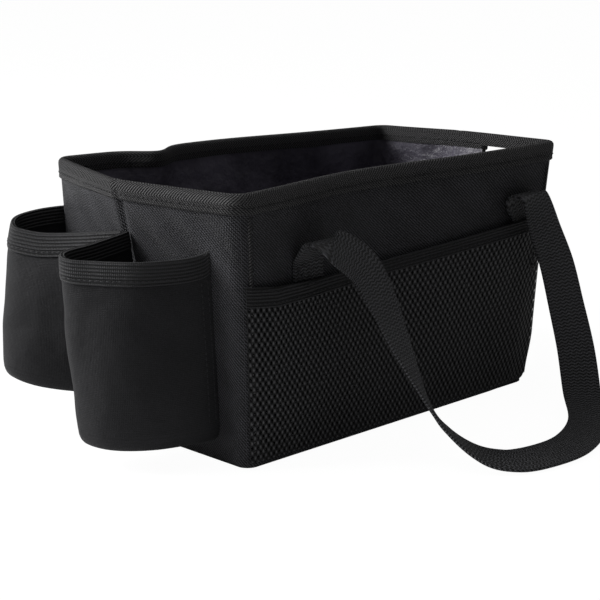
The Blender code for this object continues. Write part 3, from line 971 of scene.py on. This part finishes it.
def make_cup_elastic(cup, reach):
    """The ribbed elastic folded over the pocket's rim."""
    drop, skin, wall = CUP_ELASTIC_DROP, CUP_ELASTIC_SKIN, CUP_WALL
    section = [(-skin, -drop), (-skin - 0.0003, -drop + 0.001), (-skin - 0.0002, -drop / 2), (-skin, -0.0015)]
    section += [(-0.0004, 0.0006), (wall / 2, 0.0011), (wall + 0.0004, 0.0006)]
    section += [(wall + skin, -0.0015), (wall + skin, -drop * 0.75), (wall + 0.0001, -drop * 0.75)]
    section += [(wall + 0.0001, -0.0006), (-0.0001, -0.0006), (-0.0001, -drop)]
    section = np.array(section)
    run = lengths_along(section)
    rings, uv = [], []
    for a in np.linspace(0.0, 1.0, 141):
        one = np.array([a])
        tall = float(cup.outline(one, np.ones(1))[0][0, 2] - cup.outline(one, np.zeros(1))[0][0, 2])
        points = [cup.wall_point(one, np.array([1 + dz / tall]), inset)[0] for inset, dz in section]
        rings.append(soften(points))
        uv.append([(a * reach, length) for length in run])
    band = sweep(f"{cup.name}_pocket_elastic", rings, FINISH["elastic"], uv)
    seat(band, cup.body, f"{cup.name}_cup_elastic")

    a = np.linspace(0.01, 0.99, 200)
    tall = cup.outline(a, np.ones_like(a))[0][:, 2] - cup.outline(a, np.zeros_like(a))[0][:, 2]
    height = 1 - (drop - 0.0035) / tall
    row = sew(f"{cup.name}_pocket_stitches", lambda d: cup.wall_point(a, height, d - skin - 0.0003))
    seat(row, cup.body)


def make_cup_seams(cup):
    """The double seam down the pocket's outer side."""
    heights = np.linspace(0.86, 0.03, 90)
    for number, a in enumerate((0.955, 0.985)):
        places = np.full(90, a)
        row = sew(f"{cup.name}_side_stitches_{number}", lambda d: cup.wall_point(places, heights, d - 0.0002))
        seat(row, cup.body)


def cord_line(name, path, normals, radius, finish):
    """A low rounded ridge along a path: a seam's folded edge or its piping."""
    path = np.asarray([tuple(p) for p in path])
    ahead = np.gradient(path, axis=0)
    rings, uv, run = [], [], 0.0
    turns = np.arange(8) * 2 * math.pi / 8
    for i, centre in enumerate(path):
        forward = unit(ahead[i])
        up = unit(normals[i] - forward * forward.dot(normals[i]))
        side = np.cross(forward, up)
        taper = radius * min(1.0, 0.35 + min(i, len(path) - 1 - i) * 0.3)
        rings.append([centre + taper * (side * math.cos(t) * 1.6 + up * math.sin(t) * 0.8) for t in turns])
        if i:
            run += float(np.linalg.norm(path[i] - path[i - 1]))
        uv.append([(run, float(t) * radius) for t in turns])
    return sweep(name, rings, finish, uv, round_angle=80)


# ---- mesh pocket and its band


# Where the band's lower and upper edges run: along the wall, then the two heights
BAND_AT = [-0.157, -0.131, -0.097, -0.055, -0.021, 0.011, 0.070, 0.128, 0.157]
BAND_FOOT = [0.1195, 0.1168, 0.1172, 0.1185, 0.1204, 0.1222, 0.1262, 0.1298, 0.1308]
BAND_HEAD = [0.1345, 0.1310, 0.1296, 0.1288, 0.1306, 0.1325, 0.1368, 0.1408, 0.1420]


def mesh_stand(s, z):
    """How far the mesh stands off the wall: sewn down at its sides and foot, slack between."""
    half = MESH_HIGH[0]
    sides = smooth(0, 0.030, half - np.abs(s))
    foot = smooth(0, 0.040, z - MESH_LOW[2])
    return 0.0007 + 0.0035 * sides * (0.25 + 0.75 * foot)


def make_mesh_pocket():
    half = MESH_HIGH[0]
    rows = np.linspace(-half, half, 111)

    def mesh_point(s, t, face):
        top = np.interp(s, BAND_AT, BAND_FOOT) + 0.002
        z = MESH_LOW[2] + (top - MESH_LOW[2]) * t / 0.115
        ideal = on_side("front", s, z, FABRIC_AT)
        slack = waves(ideal, 0.045, 31) * 0.0014 * smooth(0, 0.02, half - np.abs(s)) * smooth(0, 0.02, z)
        stand = mesh_stand(s, z) + slack + 0.0003 * (1 - face)
        return soften(on_side("front", s, z, FABRIC_AT - stand))

    piece = slab("mesh_pocket_net", rows, np.linspace(0, 0.115, 41), mesh_point, FINISH["mesh"])
    FRONT_BEND.attach(piece, "mesh")
    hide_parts("front_mesh_pocket")
    make_band(half)


def make_band(half):
    """The ribbed elastic along the top of the mesh pocket."""
    skin = 0.0012
    section = [(0, 0.0), (-0.0005, 0.05), (-0.0001, 0.2), (0.0002, 0.5), (-0.0001, 0.8), (-0.0004, 0.94)]
    section = np.array([*section, (0.0003, 1.0), (skin, 1.0), (skin, 0.0)])
    rings, uv = [], []
    for s in np.linspace(-half, half, 181):
        foot, head = np.interp(s, BAND_AT, BAND_FOOT), np.interp(s, BAND_AT, BAND_HEAD)
        here = on_side("front", s, head, 0.0).reshape(1, 3)
        wander = 0.0005 * float(waves(here, 0.030, 5)[0])
        depth = FABRIC_AT - float(mesh_stand(s, head)) - 0.0016 + section[:, 0]
        z = foot + (head - foot) * section[:, 1] + wander
        rings.append(soften(on_side("front", s, z, depth)))
        uv.append([(s, (head - foot) * share) for share in section[:, 1]])
    band = sweep("mesh_pocket_band", rings, FINISH["elastic"], uv)
    FRONT_BEND.attach(band, "elastic")
    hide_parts("mesh_pocket_elastic_band")

    s = np.linspace(-half + 0.002, half - 0.002, 160)
    foot, head = np.interp(s, BAND_AT, BAND_FOOT), np.interp(s, BAND_AT, BAND_HEAD)
    for name, z in (("low", foot + 0.0028), ("high", head - 0.0024)):
        depth = FABRIC_AT - mesh_stand(s, head) - 0.0018
        row = sew(f"band_{name}_stitches", lambda d: on_side("front", s, z, depth + d))
        FRONT_BEND.attach(row, "elastic")


def make_corner_seams():
    """The upright seams beside the corners of the front and rear walls, each with its row of stitches."""
    z = np.linspace(0.006, HEIGHT - BINDING_DROP - 0.001, 60)
    for side in ("front", "rear"):
        for end, s in (("left", -HALF_LENGTH + 0.0095), ("right", HALF_LENGTH - 0.0095)):
            on = soften(on_side(side, s, z, FABRIC_AT))
            out = soften(on_side(side, s, z, FABRIC_AT - OUTWARD))
            seam = cord_line(f"{side}_{end}_seam", on, out - on, 0.0009, FINISH["binding"])
            beside = s - math.copysign(0.0028, s)
            on = soften(on_side(side, beside, z, FABRIC_AT - 0.0002))
            row = stitches(f"{side}_{end}_seam_stitches", on, out - on)
            at = round_at(side, s)
            run = next(run for run in RUNS if run.low <= at <= run.high)
            for piece in (seam, row):
                run.attach(piece, "fabric")


# ---- strap handles


def strap_section():
    """The strap's section across and through: thin, with rounded, slightly thicker edges."""
    half, thick = STRAP_WIDTH / 2, STRAP_THICKNESS / 2
    across = [1.0, 0.985, 0.94, 0.88, 0.5, 0.0, -0.5, -0.88, -0.94, -0.985, -1.0]
    through = [0.35, 0.85, 1.12, 1.0, 0.93, 0.95, 0.93, 1.0, 1.12, 0.85, 0.35]
    top = [(half * a, thick * t) for a, t in zip(across, through)]
    return top + [(a, -t) for a, t in reversed(top)]


def strap(name, path, across):
    section = strap_section()
    rings, uv = [], []
    run = 0.0
    for i, centre in enumerate(path):
        ahead = path[min(i + 1, len(path) - 1)] - path[max(i - 1, 0)]
        ahead.normalize()
        side = across[i] - ahead * across[i].dot(ahead)
        side.normalize()
        up = ahead.cross(side)
        if i:
            run += (path[i] - path[i - 1]).length
        rings.append([centre + side * a + up * t for a, t in section])
        uv.append([(run, a) for a, _ in section])
    return sweep(name, rings, FINISH["webbing"], uv, round_angle=70)


def settle(points):
    """Seats a strap's root on the slack wall, and leaves its arch where the handle is hinged."""
    points = np.array(points)
    soft = soften(points)
    hold = 1 - smooth(0.140, ROOT_TOP - 0.003, points[:, 2])
    return points + (soft - points) * hold[:, None]


def make_roots(handle, body, side_y):
    for side in ("left", "right"):
        low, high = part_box(f"{handle}_handle_{side}_root")
        x = (low[0] + high[0]) / 2
        wall_y = HALF_WIDTH - FABRIC_AT + 0.0004 + STRAP_THICKNESS / 2
        arch_y = max(abs(low[1]), abs(high[1]))
        arch_z = high[2] - ARCH_BELOW_TOP
        route = [
            (wall_y, low[2]),
            (wall_y, 0.120),
            (wall_y + 0.0005, 0.143),
            (wall_y + 0.0030, 0.157),
            (arch_y - 0.0035, arch_z - 0.0005),
            (arch_y, arch_z),
        ]
        points = smooth_path([Vector((x, side_y * y, z)) for y, z in route], 6)
        points = [Vector(p) for p in settle([tuple(p) for p in points])]
        piece = strap(f"{handle}_{side}_root", points, [Vector((1, 0, 0))] * len(points))
        seat(piece, body, f"{handle}_handle_{side}_root")
        make_root_stitches(handle, side, body, x, low[2], side_y)


def make_root_stitches(handle, side, body, x, foot, side_y):
    """The sewn box and its cross that hold a strap's root to the wall."""
    half = STRAP_WIDTH / 2 - 0.003
    low, high = foot + 0.003, ROOT_TOP - 0.022
    face_y = HALF_WIDTH - FABRIC_AT + 0.0006 + STRAP_THICKNESS
    corners = [(-half, low), (half, low), (half, high), (-half, high)]
    lines = [(corners[i], corners[(i + 1) % 4]) for i in range(4)]
    lines += [(corners[0], corners[2]), (corners[1], corners[3])]
    for number, (start, end) in enumerate(lines):
        share = np.linspace(0, 1, 24)
        across = start[0] + (end[0] - start[0]) * share
        up = start[1] + (end[1] - start[1]) * share
        route = np.stack([x + across, np.full(24, side_y * face_y), up], axis=1)
        on = settle(route)
        out = np.tile([0.0, side_y, 0.0], (24, 1))
        row = stitches(f"{handle}_{side}_root_stitches_{number}", on, out)
        seat(row, body)


def arch_ends(handle):
    """The two points where a handle's loop leaves its roots, and its short flat run out from the wall."""
    outward = -1 if handle == "front" else 1
    ends = []
    for side in ("left", "right"):
        low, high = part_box(f"{handle}_handle_{side}_root")
        y = outward * (max(abs(low[1]), abs(high[1])) + 0.0006)
        ends.append(Vector(((low[0] + high[0]) / 2, y, high[2] - ARCH_BELOW_TOP)))
    return *ends, Vector((0, outward * ARCH_FLAT, 0))


def make_loop(handle, points, across):
    path, across = smooth_path(points, STRAP_STEPS), smooth_path(across, STRAP_STEPS)
    seat(strap(f"{handle}_strap_loop", path, across), f"{handle}_handle", f"{handle}_handle_strap")


def make_front_loop():
    left, right, flat = arch_ends("front")
    points = [left, left + flat, *(Vector(p) for p, _ in FRONT_LOOP), right + flat, right]
    across = [Vector((1, 0, 0))] * 2 + [Vector(a) for _, a in FRONT_LOOP] + [Vector((-1, 0, 0))] * 2
    make_loop("front", points, across)


def make_rear_loop():
    left, right, flat = arch_ends("rear")
    half = [left, left + flat]
    half += [left + Vector((inward, away, -drop)) for inward, away, drop in REAR_DROP]
    middle = (left.x + right.x) / 2
    mirrored = [Vector((2 * middle - p.x, p.y, p.z)) for p in reversed(half)]
    points = [*half, Vector((middle, half[-1].y, half[-1].z - 0.003)), *mirrored]
    across = [Vector((1, 0, 0))] * 5 + [Vector((0.8, 0, 0.6)), Vector((0.3, 0, 1))]
    turned = [Vector((-a.x, 0, a.z)) for a in reversed(across)]
    across = [*across, Vector((0, 0, 1)), *turned]
    make_loop("rear", points, across)


# ---- the studio


WHITE = (1, 1, 1, 1)


def make_floor():
    """A pale floor that the camera sees as nearly white."""
    n = Nodes("studio_floor")
    n.set(Base_Color=(0.86, 0.86, 0.86, 1), Roughness=0.9, Specular_IOR_Level=0.1)
    glow = n.add("ShaderNodeEmission", 0, {"Color": WHITE, "Strength": 1.1})
    seen = n.math("MULTIPLY", n.add("ShaderNodeLightPath", "Is Camera Ray"), 0.88)
    mix = n.add("ShaderNodeMixShader", 0, {0: seen, 1: n.shader.outputs[0], 2: glow})
    n.tree.links.new(mix, n.tree.nodes["Material Output"].inputs["Surface"])
    size = 6.0
    corners = [(-size, -size, 0), (size, -size, 0), (size, size, 0), (-size, size, 0)]
    floor = new_piece("studio_floor", corners, [(0, 1, 2, 3)], n.material)
    floor.location.z = -0.0003


def make_world():
    """Soft light all round, against a white background."""
    world = bpy.data.worlds.new("studio")
    world.use_nodes = True
    tree = world.node_tree
    soft = tree.nodes["Background"]
    soft.inputs["Color"].default_value = WHITE
    soft.inputs["Strength"].default_value = 0.12
    white = add_node(tree, "ShaderNodeBackground", 0, {"Color": WHITE})
    seen = add_node(tree, "ShaderNodeLightPath", "Is Camera Ray", {})
    mix = add_node(tree, "ShaderNodeMixShader", 0, {0: seen, 1: soft.outputs[0], 2: white})
    tree.links.new(mix, tree.nodes["World Output"].inputs["Surface"])
    bpy.context.scene.world = world


def area_light(name, place, size, power):
    data = bpy.data.lights.new(name, "AREA")
    data.size = size
    data.energy = power
    light = bpy.data.objects.new(name, data)
    bpy.context.scene.collection.objects.link(light)
    light.location = place
    light.rotation_euler = (Vector((0, 0, 0.1)) - Vector(place)).to_track_quat("-Z", "Y").to_euler()


def make_camera():
    data = bpy.data.cameras.new("camera")
    data.sensor_width = 36
    data.lens = 125.1
    data.clip_end = 50
    camera = bpy.data.objects.new("camera", data)
    bpy.context.scene.collection.objects.link(camera)
    place = Vector((-1.1194, -1.1520, 0.5101))
    yaw, pitch, roll = 0.803, 0.262, -0.007
    ahead = Vector((math.cos(yaw) * math.cos(pitch), math.sin(yaw) * math.cos(pitch), -math.sin(pitch)))
    right = Vector((math.sin(yaw), -math.cos(yaw), 0))
    up = right.cross(ahead)
    right, up = right * math.cos(roll) + up * math.sin(roll), up * math.cos(roll) - right * math.sin(roll)
    turn = Matrix((right, up, -ahead)).transposed().to_4x4()
    camera.matrix_world = Matrix.Translation(place) @ turn
    bpy.context.scene.camera = camera


def make_studio():
    make_floor()
    make_world()
    make_camera()
    area_light("key", (-1.15, 1.0, 0.95), 0.9, 28)
    area_light("top", (-0.3, 0.2, 1.9), 1.4, 5)
    bpy.context.scene.view_settings.view_transform = "Standard"


make_studio()
for run in RUNS:
    make_wall(run)
    make_binding(run)
for board in BOARDS:
    make_board(*board)
make_base()
make_cup(Cup("front", "left_front_end", FRONT_RIM, FRONT_FOOT, 3))
make_cup(Cup("rear", "left_rear_end", REAR_RIM, REAR_FOOT, 4))
make_corner_seams()
make_mesh_pocket()
for handle, body, side_y in (("front", "front_wall", -1), ("rear", "root", 1)):
    make_roots(handle, body, side_y)
make_front_loop()
make_rear_loop()
